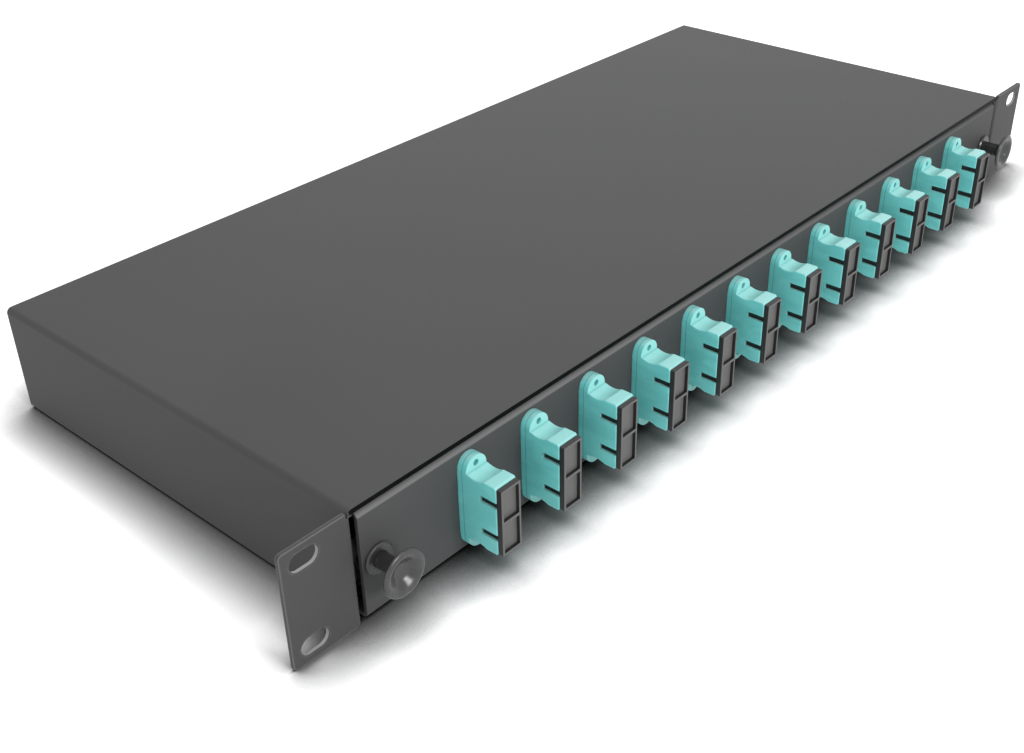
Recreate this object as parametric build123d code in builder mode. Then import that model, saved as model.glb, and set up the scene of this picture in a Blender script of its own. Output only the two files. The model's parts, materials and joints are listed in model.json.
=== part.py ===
from build123d import *
import os

os.makedirs("parts", exist_ok=True)

# A one-unit 19-inch fibre patch panel: a housing of folded sheet with a drawer that slides out to the front.
# X runs to the right seen from the front, Y to the rear and Z up, in millimetres.
# The origin is the centre of the four rack slots, on the rear face of the mounting ears.

# Rack interface
rack_width = 482.6
unit_height = 44.45
ear_width = 25.8
ear_gap = 0.85
ear_corner = 1.5
slot_end_inset = 8.75
slot_edge_inset = 6.35
slot_length = 11.0
slot_width = 6.8

# Housing sheet
body_gap = 0.45
body_depth = 188.0
sheet = 1.5
bend_inside = 0.7
lip_width = 16.0
lip_setback = 11.0
base_side_gap = 0.1
roof_gap = 0.3
rear_flange = 10.0

# Base screws, countersunk
base_screw_radius = 1.5
base_screw_head_radius = 2.8
base_screw_rows = 3
base_screw_inset = 13.5
recess_length = 3.3
recess_width = 0.5
screw_hole_clearance = 0.15

# Drawer front
front_side_gap = 2.0
front_top_gap = 1.5
front_bottom_gap = 0.5
front_lip = 8.0
tray_stud_radius = 1.5
tray_stud_length = 6.0
tray_stud_spacing = 9.0
tray_nut_flats = 5.5
tray_nut_height = 2.4

# Drawer tray and its slides
tray_sheet = 1.2
tray_rear_gap = 20.0
tray_lift = 1.0
tray_wall = 20.0
tray_wall_to_bracket = 2.5
tray_tab = 16.0
tray_tab_height = 16.0
tray_rear_lip = 8.0
tray_rear_notch = 45.0
tie_slot_length = 9.0
tie_slot_width = 3.0
tie_slot_pitch = 12.0
tie_slot_inset = 22.0
rail_sheet = 1.0
rail_height = 8.6
rail_depth = 10.0
rail_start = 6.0
rail_rear_gap = 7.0
slide_gap = 0.3
runner_start = 4.0
runner_rear_gap = 1.0
rivet_radius = 0.8
rivet_head = 0.8
rivet_play = 0.05
rivet_inset = 20.0
rivet_count = 3

# Push-pull plungers, their grommets and the latch brackets
knob_edge_inset = 6.5
head_radius = 8.4
head_rim = 1.5
head_dish = 1.8
head_dish_floor = 1.7
head_band = 1.2
head_edge = 0.4
head_flare = 1.6
head_reach = 12.0
neck_radius = 3.6
stem_radius = 2.9
stem_clearance = 0.1
stem_end = 1.0
stem_tip = 0.4
grommet_flange_radius = 5.6
grommet_flange = 1.2
grommet_edge = 0.5
grommet_radius = 4.2
grommet_hole_clearance = 0.05
grommet_length = 7.5
barb_radius = 4.6
barb_length = 2.2
barb_edge = 0.6
barb_taper = 0.3
grommet_slit = 1.2
bracket_stand_off = 3.0
bracket_leg = 16.0
bracket_height = 17.0
bracket_tail = 14.0
bracket_hole_clearance = 0.4

# Duplex couplers
coupler_count = 12
coupler_margin = 46.45
coupler_width = 9.4
coupler_height = 26.0
coupler_length = 30.0
coupler_reach = 16.4
coupler_edge = 0.4
cutout_clearance = 0.2
flange_height = 35.6
flange_thickness = 3.8
ear_hole_spacing = 30.0
ear_hole_radius = 1.15
land_length = 5.0
land_rise = 0.3
land_round = 0.7
scoop_depth = 0.6
scoop_end = 0.8
port_pitch = 12.7
port_width = 7.4
port_height = 9.0
port_wall = 2.0
keyway_height = 2.4
keyway_length = 7.0
sleeve_radius = 1.6
sleeve_bore = 1.25
sleeve_length = 11.4
sleeve_slit = 0.5
sleeve_play = 0.05
holder_wall = 0.55
holder_lip = 0.4
insert_plate = 1.0
insert_margin = 0.3
arm_length = 5.0
arm_thickness = 0.8
arm_width = 2.6
arm_hook = 0.5
arm_spread = 2.6
clip_sheet = 0.4
clip_width = 6.0
clip_length = 9.0
clip_rise = 2.0
clip_gap = 0.05

# Dust caps
cap_proud = 2.0
cap_inset = 0.2
cap_edge = 0.5
cap_seat_gap = 0.05
plug_clearance = 0.15
plug_depth = 7.0
pocket_depth = 1.3
pocket_rim = 0.9
pocket_divider = 1.1

# Splice cassette
cassette_width = 150.0
cassette_depth = 96.0
cassette_height = 9.0
cassette_wall = 1.5
cassette_corner = 18.0
cassette_rear_gap = 13.0
cassette_notch = 12.0
lid_thickness = 1.2
lid_play = 0.3
cassette_stud_radius = 2.0
cassette_stud_length = 15.0
cassette_hole_clearance = 0.2
cassette_nut_radius = 5.0
cassette_nut_height = 4.0
knurl_count = 16
knurl_radius = 0.36
comb_width = 34.0
comb_depth = 26.0
comb_height = 5.0
comb_base = 1.4
comb_slots = 6
comb_slot = 2.6
comb_offset = 38.0

# Fibre guide clips on the tray floor
guide_width = 16.0
guide_height = 13.0
guide_depth = 6.0
guide_wall = 1.4
guide_corner = 3.0
guide_mouth = 3.0
guide_inset = 55.5
guide_front_y = 42.0
guide_rear_inset = 33.0

# Rear cable entries
entry_drop = 1.2
entry_radius = 10.0
entry_clearance = 0.2
gland_inset = 44.0
entry_spacing = 40.0
gland_flats = 24.0
gland_flange = 4.0
gland_thread_inside = 7.0
gland_neck_radius = 9.0
gland_neck = 8.0
gland_bore = 6.0
gland_mouth_radius = 7.5
gland_mouth = 7.0
seal_bore = 4.5
seal_stand_out = 1.0
cap_nut_gap = 0.4
cap_nut_length = 14.0
cap_nut_wall = 2.2
cap_nut_flats = 23.0
cap_nut_hex = 8.0
cap_nut_hole = 5.6
locknut_height = 4.0
thread_play = 0.05
plug_head_radius = 11.8
plug_head = 2.0
plug_edge = 1.0
plug_barrel_length = 6.0
plug_wall = 1.6
plug_barb = 0.6

# Places that follow from the sizes above
ear_height = unit_height - ear_gap
slot_spacing_x = rack_width - 2 * slot_end_inset
slot_spacing_z = unit_height - 2 * slot_edge_inset
body_width = rack_width - 2 * ear_width
body_height = unit_height - body_gap
floor_z = -ear_height / 2
roof_z = floor_z + body_height
front_y = -sheet
rear_y = front_y + body_depth
inner_x = body_width / 2 - sheet
wall_x = body_width / 2 - sheet / 2
bend_middle = bend_inside + sheet / 2
bend_outside = bend_inside + sheet
lip_y = front_y + lip_setback
base_z = floor_z + sheet
base_top_z = base_z + sheet
base_half = inner_x - bend_inside - base_side_gap
screw_x = inner_x - lip_width / 2
screw_y = (lip_y + rear_y) / 2
base_screw_pitch = (rear_y - lip_y - 2 * base_screw_inset) / (base_screw_rows - 1)

front_half = inner_x - front_side_gap
front_bottom_z = floor_z + front_bottom_gap
front_top_z = roof_z - sheet - front_top_gap
front_mid_z = (front_bottom_z + front_top_z) / 2

bracket_face_y = bracket_stand_off
knob_x = front_half - knob_edge_inset
knob_head_y = front_y - head_reach
bracket_hole_radius = barb_radius + bracket_hole_clearance
tray_half = inner_x - bracket_leg - tray_wall_to_bracket
tray_depth = rear_y - sheet - tray_rear_gap
tray_z = base_top_z + tray_lift
tray_top_z = tray_z + tray_sheet
tray_bend = bend_inside + tray_sheet / 2
rail_bend = bend_inside + rail_sheet / 2
rail_length = rear_y - sheet - rail_rear_gap - rail_start
runner_height = rail_height - 2 * rail_sheet - 2 * slide_gap
runner_length = tray_depth - runner_rear_gap - runner_start
runner_z = base_top_z + rail_sheet + slide_gap
runner_out_x = inner_x - rail_sheet - slide_gap
runner_web_x = tray_half + rail_sheet / 2
rivet_z = runner_z + runner_height / 2
rivet_y = runner_start + runner_length / 2
rivet_pitch = (runner_length - 2 * rivet_inset) / (rivet_count - 1)
rivet_head_radius = runner_height / 2 - rail_sheet - bend_inside - rivet_play
stud_x = tray_half - tray_sheet - tray_tab / 2
stud_z = front_mid_z

coupler_front_y = front_y - coupler_reach
coupler_mid_y = coupler_front_y + coupler_length / 2
coupler_rear_y = coupler_front_y + coupler_length
port_centres = [-port_pitch / 2, port_pitch / 2]
coupler_pitch = 2 * (front_half - coupler_margin) / (coupler_count - 1)
coupler_places = [(i - (coupler_count - 1) / 2) * coupler_pitch for i in range(coupler_count)]
holder_radius = sleeve_radius + sleeve_play + holder_wall
holder_length = sleeve_length + 2 * holder_lip

cassette_centre_y = tray_depth - cassette_rear_gap - cassette_depth / 2
guide_x = tray_half - guide_inset
guide_rear_y = tray_depth - guide_rear_inset
gland_x = inner_x - gland_inset
plug_x = gland_x - entry_spacing
entry_z = (floor_z + roof_z) / 2 - entry_drop

# The housing: one sheet folded into the top, the sides, the bottom lips and the two mounting ears
with BuildPart() as outer_shell:
    with BuildSketch(Plane.XZ.offset(-front_y)):
        with BuildLine():
            FilletPolyline(
                (inner_x - lip_width, base_z - sheet / 2),
                (wall_x, base_z - sheet / 2),
                (wall_x, roof_z - sheet / 2),
                (-wall_x, roof_z - sheet / 2),
                (-wall_x, base_z - sheet / 2),
                (-inner_x + lip_width, base_z - sheet / 2),
                radius=bend_middle,
            )
        trace(line_width=sheet)
    extrude(amount=-body_depth)
    # the walls stop where the bends of the ears begin
    with Locations((0, front_y, floor_z)):
        Box(
            body_width,
            bend_outside,
            body_height - bend_outside,
            align=(Align.CENTER, Align.MIN, Align.MIN),
            mode=Mode.SUBTRACT,
        )
    # the bottom lips start behind the drawer front
    with Locations((0, front_y, floor_z)):
        Box(
            2 * (inner_x - bend_inside),
            lip_setback,
            sheet,
            align=(Align.CENTER, Align.MIN, Align.MIN),
            mode=Mode.SUBTRACT,
        )
    # each ear is bent outwards from the front of its wall
    for side in (-1, 1):
        with BuildSketch(Plane.XY.offset(floor_z)):
            with BuildLine():
                FilletPolyline(
                    (side * (wall_x + bend_outside), front_y / 2),
                    (side * wall_x, front_y / 2),
                    (side * wall_x, front_y + bend_outside),
                    radius=bend_middle,
                )
            trace(line_width=sheet)
        extrude(amount=body_height - bend_outside)
        with BuildSketch(Plane.XZ):
            with Locations((side * (body_width / 2 + bend_inside), 0)):
                Rectangle(
                    (rack_width - body_width) / 2 - bend_inside,
                    ear_height,
                    align=(Align.MIN if side > 0 else Align.MAX, Align.CENTER),
                )
        extrude(amount=sheet)
    ear_edges = outer_shell.edges().filter_by(Axis.Y).group_by(Axis.X)
    fillet(ear_edges[0] + ear_edges[-1], radius=ear_corner)
    # four rack slots
    with BuildSketch(Plane.XZ):
        with GridLocations(slot_spacing_x, slot_spacing_z, 2, 2):
            SlotOverall(slot_length, slot_width)
    extrude(amount=sheet, mode=Mode.SUBTRACT)
    # countersunk holes for the base screws
    with Locations(Plane.XY.offset(floor_z)):
        with Locations((0, screw_y, 0)):
            with GridLocations(2 * screw_x, base_screw_pitch, 2, base_screw_rows):
                Cone(
                    base_screw_head_radius + screw_hole_clearance,
                    base_screw_radius + screw_hole_clearance,
                    sheet,
                    align=(Align.CENTER, Align.CENTER, Align.MIN),
                    mode=Mode.SUBTRACT,
                )
outer_shell.part.label = "outer_shell"
export_step(outer_shell.part, "parts/outer_shell.step")

# The base: floor, rear wall and a stiffening flange under the roof, one folded sheet
with BuildPart() as base_plate:
    with BuildSketch(Plane.YZ):
        with BuildLine():
            FilletPolyline(
                (lip_y, base_z + sheet / 2),
                (rear_y - sheet / 2, base_z + sheet / 2),
                (rear_y - sheet / 2, roof_z - sheet - roof_gap - sheet / 2),
                (rear_y - rear_flange, roof_z - sheet - roof_gap - sheet / 2),
                radius=bend_middle,
            )
        trace(line_width=sheet)
    extrude(amount=base_half, both=True)
    # cable entries in the rear wall
    with BuildSketch(Plane.XZ.offset(-rear_y)):
        with Locations((-gland_x, entry_z), (-plug_x, entry_z), (plug_x, entry_z), (gland_x, entry_z)):
            Circle(entry_radius + entry_clearance)
    extrude(amount=sheet, both=True, mode=Mode.SUBTRACT)
    # threaded holes for the base screws
    with BuildSketch(Plane.XY.offset(base_z)):
        with Locations((0, screw_y)):
            with GridLocations(2 * screw_x, base_screw_pitch, 2, base_screw_rows):
                Circle(base_screw_radius + thread_play)
    extrude(amount=sheet, mode=Mode.SUBTRACT)
base_plate.part.label = "base_plate"
export_step(base_plate.part, "parts/base_plate.step")

# Countersunk screws that hold the base to the lips
with BuildPart() as base_screws:
    with Locations(Plane.XY.offset(floor_z)):
        with Locations((0, screw_y, 0)):
            with GridLocations(2 * screw_x, base_screw_pitch, 2, base_screw_rows):
                Cylinder(
                    base_screw_radius,
                    2 * sheet,
                    align=(Align.CENTER, Align.CENTER, Align.MIN),
                )
                Cone(
                    base_screw_head_radius,
                    base_screw_radius,
                    sheet,
                    align=(Align.CENTER, Align.CENTER, Align.MIN),
                )
                Box(
                    recess_length,
                    recess_width,
                    sheet,
                    mode=Mode.SUBTRACT,
                )
                Box(
                    recess_width,
                    recess_length,
                    sheet,
                    mode=Mode.SUBTRACT,
                )
base_screws.part.label = "base_screws"
export_step(base_screws.part, "parts/base_screws.step")

# Latch brackets, guide rails and runners, the same on both sides
for side, hand in ((-1, "left"), (1, "right")):
    with BuildPart() as latch_bracket:
        with BuildSketch(Plane.XY.offset(front_mid_z - bracket_height / 2)):
            with BuildLine():
                FilletPolyline(
                    (side * (inner_x - bracket_leg), bracket_face_y + sheet / 2),
                    (side * (inner_x - sheet / 2), bracket_face_y + sheet / 2),
                    (side * (inner_x - sheet / 2), bracket_face_y + bracket_tail),
                    radius=bend_middle,
                )
            trace(line_width=sheet)
        extrude(amount=bracket_height)
        with BuildSketch(Plane.XZ.offset(-bracket_face_y)):
            with Locations((side * knob_x, front_mid_z)):
                Circle(bracket_hole_radius)
        extrude(amount=-sheet, mode=Mode.SUBTRACT)
    latch_bracket.part.label = f"latch_bracket_{hand}"
    export_step(latch_bracket.part, f"parts/latch_bracket_{hand}.step")

    with BuildPart() as guide_rail:
        with BuildSketch(Plane.XZ.offset(-rail_start)):
            with BuildLine():
                FilletPolyline(
                    (side * (inner_x - rail_depth), base_top_z + rail_sheet / 2),
                    (side * (inner_x - rail_sheet / 2), base_top_z + rail_sheet / 2),
                    (side * (inner_x - rail_sheet / 2), base_top_z + rail_height - rail_sheet / 2),
                    (side * (inner_x - rail_depth), base_top_z + rail_height - rail_sheet / 2),
                    radius=rail_bend,
                )
            trace(line_width=rail_sheet)
        extrude(amount=-rail_length)
    guide_rail.part.label = f"guide_rail_{hand}"
    export_step(guide_rail.part, f"parts/guide_rail_{hand}.step")

    with BuildPart() as slide_runner:
        with BuildSketch(Plane.XZ.offset(-runner_start)):
            with BuildLine():
                FilletPolyline(
                    (side * runner_out_x, runner_z + rail_sheet / 2),
                    (side * runner_web_x, runner_z + rail_sheet / 2),
                    (side * runner_web_x, runner_z + runner_height - rail_sheet / 2),
                    (side * runner_out_x, runner_z + runner_height - rail_sheet / 2),
                    radius=rail_bend,
                )
            trace(line_width=rail_sheet)
        extrude(amount=-runner_length)
        with BuildSketch(Plane.YZ.offset(side * runner_web_x)):
            with Locations((rivet_y, rivet_z)):
                with GridLocations(rivet_pitch, 1, rivet_count, 1):
                    Circle(rivet_radius + rivet_play)
        extrude(amount=rail_sheet, both=True, mode=Mode.SUBTRACT)
    slide_runner.part.label = f"slide_runner_{hand}"
    export_step(slide_runner.part, f"parts/slide_runner_{hand}.step")

# Rivets that hold the runners to the tray walls
with BuildPart() as runner_rivets:
    for side in (-1, 1):
        with BuildSketch(Plane.YZ.offset(side * (tray_half - tray_sheet - rivet_head))):
            with Locations((rivet_y, rivet_z)):
                with GridLocations(rivet_pitch, 1, rivet_count, 1):
                    Circle(rivet_head_radius)
        extrude(amount=side * rivet_head)
        with BuildSketch(Plane.YZ.offset(side * (tray_half - tray_sheet))):
            with Locations((rivet_y, rivet_z)):
                with GridLocations(rivet_pitch, 1, rivet_count, 1):
                    Circle(rivet_radius)
        extrude(amount=side * (tray_sheet + rail_sheet))
        with BuildSketch(Plane.YZ.offset(side * (tray_half + rail_sheet))):
            with Locations((rivet_y, rivet_z)):
                with GridLocations(rivet_pitch, 1, rivet_count, 1):
                    Circle(rivet_head_radius)
        extrude(amount=side * rivet_head)
runner_rivets.part.label = "runner_rivets"
export_step(runner_rivets.part, "parts/runner_rivets.step")

# The drawer front: a plate with a lip folded back at the top and at the bottom
with BuildPart() as drawer_front:
    with BuildSketch(Plane.YZ):
        with BuildLine():
            FilletPolyline(
                (front_lip, front_bottom_z + sheet / 2),
                (front_y / 2, front_bottom_z + sheet / 2),
                (front_y / 2, front_top_z - sheet / 2),
                (front_lip, front_top_z - sheet / 2),
                radius=bend_middle,
            )
        trace(line_width=sheet)
    extrude(amount=front_half, both=True)
    with BuildSketch(Plane.XZ):
        with Locations((0, front_mid_z)):
            with GridLocations(coupler_pitch, 1, coupler_count, 1):
                Rectangle(coupler_width + 2 * cutout_clearance, coupler_height + 2 * cutout_clearance)
            with GridLocations(2 * knob_x, 1, 2, 1):
                Circle(grommet_radius + grommet_hole_clearance)
    extrude(amount=sheet, mode=Mode.SUBTRACT)
    # welded studs for the tray
    with BuildSketch(Plane.XZ):
        with Locations((0, stud_z)):
            with GridLocations(2 * stud_x, tray_stud_spacing, 2, 2):
                Circle(tray_stud_radius)
    extrude(amount=-tray_stud_length)
drawer_front.part.label = "drawer_front"
export_step(drawer_front.part, "parts/drawer_front.step")

# The drawer tray: floor and side walls, with tabs for the front and a low lip at the rear
with BuildPart() as drawer_tray:
    with BuildSketch(Plane.XZ):
        with BuildLine():
            FilletPolyline(
                (-tray_half + tray_sheet / 2, tray_z + tray_wall),
                (-tray_half + tray_sheet / 2, tray_z + tray_sheet / 2),
                (tray_half - tray_sheet / 2, tray_z + tray_sheet / 2),
                (tray_half - tray_sheet / 2, tray_z + tray_wall),
                radius=tray_bend,
            )
        trace(line_width=tray_sheet)
    extrude(amount=-tray_depth)
    # tabs that bolt to the drawer front
    with BuildSketch(Plane.XZ):
        with Locations((0, stud_z)):
            with GridLocations(2 * stud_x, 1, 2, 1):
                Rectangle(tray_tab + tray_sheet, tray_tab_height)
    extrude(amount=-tray_sheet)
    with BuildSketch(Plane.XZ):
        with Locations((0, stud_z)):
            with GridLocations(2 * stud_x, tray_stud_spacing, 2, 2):
                Circle(tray_stud_radius + screw_hole_clearance)
    extrude(amount=-tray_sheet, mode=Mode.SUBTRACT)
    # rear lip, left open at both ends for the cables
    with BuildSketch(Plane.XZ.offset(-tray_depth)):
        with Locations((0, tray_z)):
            Rectangle(
                2 * (tray_half - tray_rear_notch),
                tray_rear_lip,
                align=(Align.CENTER, Align.MIN),
            )
    extrude(amount=tray_sheet)
    # pairs of slots for cable ties near the rear corners
    with BuildSketch(Plane.XY.offset(tray_z)):
        with Locations((0, tray_depth - tie_slot_inset)):
            with GridLocations(2 * (tray_half - tie_slot_inset), tie_slot_pitch, 2, 2):
                SlotOverall(tie_slot_length, tie_slot_width)
    extrude(amount=tray_sheet, mode=Mode.SUBTRACT)
    # rivet holes of the runners
    with BuildSketch(Plane.YZ):
        with Locations((rivet_y, rivet_z)):
            with GridLocations(rivet_pitch, 1, rivet_count, 1):
                Circle(rivet_radius + rivet_play)
    extrude(amount=tray_half, both=True, mode=Mode.SUBTRACT)
    # stud for the splice cassette
    with BuildSketch(Plane.XY.offset(tray_top_z)):
        with Locations((0, cassette_centre_y)):
            Circle(cassette_stud_radius)
    extrude(amount=cassette_stud_length)
drawer_tray.part.label = "drawer_tray"
export_step(drawer_tray.part, "parts/drawer_tray.step")

# Hexagon nuts on the studs of the drawer front
with BuildPart() as tray_nuts:
    with BuildSketch(Plane.XZ.offset(-tray_sheet)):
        with Locations((0, stud_z)):
            with GridLocations(2 * stud_x, tray_stud_spacing, 2, 2):
                RegularPolygon(tray_nut_flats / 2, 6, major_radius=False)
                Circle(tray_stud_radius + thread_play, mode=Mode.SUBTRACT)
    extrude(amount=-tray_nut_height)
tray_nuts.part.label = "tray_nuts"
export_step(tray_nuts.part, "parts/tray_nuts.step")

# Push-pull plungers, shown pulled out, and their split grommets
for side, hand in ((-1, "left"), (1, "right")):
    knob_plane = Plane(origin=(side * knob_x, 0, front_mid_z))
    knob_axis = Axis((side * knob_x, 0, front_mid_z), (0, 1, 0))

    with BuildPart() as plunger:
        with BuildSketch(knob_plane):
            with BuildLine():
                Polyline(
                    (0, knob_head_y + head_dish),
                    (0, stem_end),
                    (stem_radius - stem_tip, stem_end),
                    (stem_radius, stem_end - 2 * stem_tip),
                    (stem_radius, knob_head_y + head_rim + 2 * head_flare),
                )
                RadiusArc(
                    (stem_radius, knob_head_y + head_rim + 2 * head_flare),
                    (neck_radius + head_flare, knob_head_y + head_rim),
                    -3 * head_flare,
                )
                Line(
                    (neck_radius + head_flare, knob_head_y + head_rim),
                    (head_radius - head_edge, knob_head_y + head_rim),
                )
                Polyline(
                    (head_radius - head_edge, knob_head_y + head_rim),
                    (head_radius, knob_head_y + head_rim - head_edge),
                    (head_radius, knob_head_y + head_edge),
                    (head_radius - head_edge, knob_head_y),
                    (head_radius - head_band, knob_head_y),
                    (head_dish_floor, knob_head_y + head_dish),
                    (0, knob_head_y + head_dish),
                )
            make_face()
        revolve(axis=knob_axis)
    plunger.part.label = f"plunger_{hand}"
    export_step(plunger.part, f"parts/plunger_{hand}.step")

    with BuildPart() as grommet:
        with BuildSketch(knob_plane):
            with BuildLine():
                Polyline(
                    (stem_radius + stem_clearance, front_y - grommet_flange),
                    (grommet_flange_radius - grommet_edge, front_y - grommet_flange),
                    (grommet_flange_radius, front_y - grommet_flange + grommet_edge),
                    (grommet_flange_radius, front_y),
                    (grommet_radius, front_y),
                    (grommet_radius, grommet_length - barb_length),
                    (barb_radius, grommet_length - barb_length + barb_edge),
                    (grommet_radius - barb_taper, grommet_length),
                    (stem_radius + stem_clearance, grommet_length),
                    close=True,
                )
            make_face()
        revolve(axis=knob_axis)
        # slits that part the barrel into four legs
        with BuildSketch(Plane.XZ.offset(-sheet / 2)):
            with Locations((side * knob_x, front_mid_z)):
                Rectangle(2 * barb_radius, grommet_slit)
                Rectangle(grommet_slit, 2 * barb_radius)
        extrude(amount=-grommet_length, mode=Mode.SUBTRACT)
    grommet.part.label = f"grommet_{hand}"
    export_step(grommet.part, f"parts/grommet_{hand}.step")

# A duplex coupler, standing on end in its cut-out
half = coupler_height / 2
flange_y = coupler_front_y + coupler_reach - flange_thickness
with BuildPart() as coupler:
    # side view: straight at the rear, scooped behind a raised land at the front
    with BuildSketch(Plane((0, 0, front_mid_z), x_dir=(0, 1, 0), z_dir=(1, 0, 0))):
        with BuildLine():
            for turn in (-1, 1):
                Polyline(
                    (coupler_front_y, 0),
                    (coupler_front_y, turn * (half + land_rise - land_round)),
                    (coupler_front_y + land_round, turn * (half + land_rise)),
                    (coupler_front_y + land_length, turn * (half + land_rise)),
                )
                ThreePointArc(
                    (coupler_front_y + land_length, turn * (half + land_rise)),
                    ((coupler_front_y + land_length + flange_y) / 2, turn * (half - scoop_depth)),
                    (flange_y - scoop_end, turn * half),
                )
                Polyline(
                    (flange_y - scoop_end, turn * half),
                    (coupler_rear_y, turn * half),
                    (coupler_rear_y, 0),
                )
        make_face()
    extrude(amount=coupler_width / 2, both=True)
    fillet(coupler.faces().filter_by(Axis.X).edges(), radius=coupler_edge)
    # mounting flange with a round ear at each end
    with BuildSketch(Plane((0, front_y, front_mid_z), x_dir=(1, 0, 0), z_dir=(0, -1, 0))):
        SlotOverall(flange_height, coupler_width, rotation=90)
    extrude(amount=flange_thickness)
    with BuildSketch(Plane((0, front_y, front_mid_z), x_dir=(1, 0, 0), z_dir=(0, -1, 0))):
        with GridLocations(1, ear_hole_spacing, 1, 2):
            Circle(ear_hole_radius)
    extrude(amount=flange_thickness, mode=Mode.SUBTRACT)
    # two ports: a square socket from each end, with a wall between that carries the sleeve holder
    port_plane = Plane((0, coupler_mid_y, front_mid_z), x_dir=(1, 0, 0), z_dir=(0, -1, 0))
    with BuildSketch(port_plane):
        with GridLocations(1, port_pitch, 1, 2):
            Rectangle(port_width, port_height)
    extrude(amount=coupler_length / 2, both=True, mode=Mode.SUBTRACT)
    with BuildSketch(port_plane):
        with GridLocations(1, port_pitch, 1, 2):
            Rectangle(port_width, port_height)
    extrude(amount=port_wall / 2, both=True)
    with BuildSketch(port_plane):
        with GridLocations(1, port_pitch, 1, 2):
            Circle(holder_radius)
    extrude(amount=holder_length / 2, both=True)
    with BuildSketch(port_plane):
        with GridLocations(1, port_pitch, 1, 2):
            Circle(sleeve_radius + sleeve_play)
    extrude(amount=sleeve_length / 2 + sleeve_play, both=True, mode=Mode.SUBTRACT)
    with BuildSketch(port_plane):
        with GridLocations(1, port_pitch, 1, 2):
            Circle(sleeve_bore)
    extrude(amount=holder_length / 2, both=True, mode=Mode.SUBTRACT)
    # keyways of the plugs, in the left wall at both ends
    with BuildSketch(Plane((-coupler_width / 2, coupler_mid_y, front_mid_z), x_dir=(0, 1, 0), z_dir=(1, 0, 0))):
        with GridLocations(coupler_length - keyway_length, port_pitch, 2, 2):
            Rectangle(keyway_length, keyway_height)
    extrude(amount=coupler_width / 2, mode=Mode.SUBTRACT)

# The dust cap of a coupler
cap_plane = Plane(
    (0, coupler_front_y - cap_seat_gap, front_mid_z), x_dir=(1, 0, 0), z_dir=(0, -1, 0)
)
pocket_height = coupler_height / 2 - cap_inset - pocket_rim - pocket_divider / 2
with BuildPart() as dust_cap:
    # rim plate in front of the coupler
    with BuildSketch(cap_plane):
        Rectangle(coupler_width - 2 * cap_inset, coupler_height - 2 * cap_inset)
    extrude(amount=cap_proud)
    fillet(dust_cap.edges().filter_by(Axis.Y), radius=cap_edge)
    fillet(dust_cap.faces().sort_by(Axis.Y)[0].edges(), radius=cap_edge / 2)
    # one plug for each port
    with BuildSketch(cap_plane):
        with GridLocations(1, port_pitch, 1, 2):
            Rectangle(port_width - 2 * plug_clearance, port_height - 2 * plug_clearance)
    extrude(amount=-plug_depth)
    # shallow pockets in the face, with a divider between
    with BuildSketch(cap_plane.offset(cap_proud)):
        with GridLocations(1, pocket_height + pocket_divider, 1, 2):
            Rectangle(coupler_width - 2 * cap_inset - 2 * pocket_rim, pocket_height)
    extrude(amount=-pocket_depth, mode=Mode.SUBTRACT)

# The row of couplers and their dust caps
for number, place in enumerate(coupler_places, start=1):
    with BuildPart() as placed_coupler:
        with Locations((place, 0, 0)):
            add(coupler.part)
    placed_coupler.part.label = f"coupler_{number:02d}"
    export_step(placed_coupler.part, f"parts/coupler_{number:02d}.step")

    with BuildPart() as placed_cap:
        with Locations((place, 0, 0)):
            add(dust_cap.part)
    placed_cap.part.label = f"dust_cap_{number:02d}"
    export_step(placed_cap.part, f"parts/dust_cap_{number:02d}.step")

# Spring clips above and below each coupler, which press on the rear of the drawer front
clip_start = coupler_height / 2 + clip_gap + clip_sheet / 2
with BuildPart() as clip_pair:
    with BuildSketch(Plane((0, 0, front_mid_z), x_dir=(0, 1, 0), z_dir=(1, 0, 0))):
        for turn in (-1, 1):
            with BuildLine():
                FilletPolyline(
                    (clip_length, turn * clip_start),
                    (clip_length / 3, turn * clip_start),
                    (2 * clip_sheet, turn * (clip_start + clip_rise)),
                    radius=2 * clip_sheet,
                )
            trace(line_width=clip_sheet)
    extrude(amount=clip_width / 2, both=True)

with BuildPart() as coupler_clips:
    with GridLocations(coupler_pitch, 1, coupler_count, 1):
        add(clip_pair.part)
coupler_clips.part.label = "coupler_clips"
export_step(coupler_clips.part, "parts/coupler_clips.step")

# Split sleeves that line up the two ferrules of each port
with BuildPart() as alignment_sleeves:
    with BuildSketch(port_plane):
        with GridLocations(coupler_pitch, port_pitch, coupler_count, 2):
            Circle(sleeve_radius)
            Circle(sleeve_bore, mode=Mode.SUBTRACT)
            Rectangle(
                sleeve_slit,
                sleeve_radius,
                align=(Align.CENTER, Align.MIN),
                mode=Mode.SUBTRACT,
            )
    extrude(amount=sleeve_length / 2, both=True)
alignment_sleeves.part.label = "alignment_sleeves"
export_step(alignment_sleeves.part, "parts/alignment_sleeves.step")

# Inner parts of the ports: a plate on the wall with two hooked arms that hold a plug
with BuildPart() as port_inserts:
    for end in (-1, 1):
        plate_y = coupler_mid_y + end * port_wall / 2
        for centre in port_centres:
            insert_plane = Plane((0, plate_y, front_mid_z + centre), x_dir=(1, 0, 0), z_dir=(0, end, 0))
            with BuildSketch(insert_plane):
                Rectangle(port_width - 2 * insert_margin, port_height - 2 * insert_margin)
                Circle(holder_radius + thread_play, mode=Mode.SUBTRACT)
            extrude(amount=insert_plate)
            with BuildSketch(insert_plane.offset(insert_plate)):
                with GridLocations(1, 2 * arm_spread + arm_thickness, 1, 2):
                    Rectangle(arm_width, arm_thickness)
            extrude(amount=arm_length)
            with BuildSketch(insert_plane.offset(insert_plate + arm_length)):
                with GridLocations(1, 2 * arm_spread + arm_thickness - arm_hook, 1, 2):
                    Rectangle(arm_width, arm_thickness + arm_hook)
            extrude(amount=-arm_thickness)

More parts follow.
